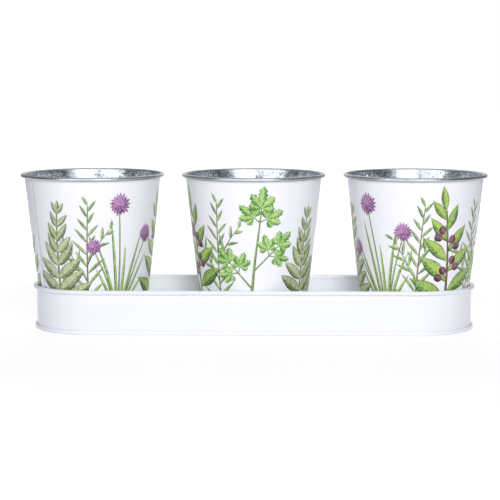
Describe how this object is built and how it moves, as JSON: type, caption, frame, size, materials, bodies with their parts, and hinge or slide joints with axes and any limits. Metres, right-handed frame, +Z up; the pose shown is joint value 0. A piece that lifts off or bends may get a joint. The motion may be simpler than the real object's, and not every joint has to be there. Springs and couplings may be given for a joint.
{
  "type": "indoor herb planter",
  "caption": "Row of tapered zinc-lined steel herb pots with rolled rims, standing loose in a long white round-ended tray with a rolled edge and a folded bottom seam.",
  "frame": {"origin": "middle of the tray's underside, on the surface that it stands on", "axes": "+X along the row of pots, +Y away from the front, +Z up"},
  "size_m": [0.406, 0.125, 0.135],
  "materials": {
    "tray_white": "gloss",
    "pot_white": "satin",
    "zinc": "spangled zinc"
  },
  "bodies": {
    "tray": {"tray_band": "tray_white", "tray_floor": "tray_white"},
    "pot_left": {"pot_left_wall": "pot_white", "pot_left_base": "zinc"},
    "pot_centre": {"pot_centre_wall": "pot_white", "pot_centre_base": "zinc"},
    "pot_right": {"pot_right_wall": "pot_white", "pot_right_base": "zinc"}
  },
  "joints": [
    {"name": "pot_left_lift", "type": "slide", "parent": "tray", "child": "pot_left", "axis": [0, 0, 1], "range_m": [0, 0.15]},
    {"name": "pot_centre_lift", "type": "slide", "parent": "tray", "child": "pot_centre", "axis": [0, 0, 1], "range_m": [0, 0.15]},
    {"name": "pot_right_lift", "type": "slide", "parent": "tray", "child": "pot_right", "axis": [0, 0, 1], "range_m": [0, 0.15]}
  ]
}
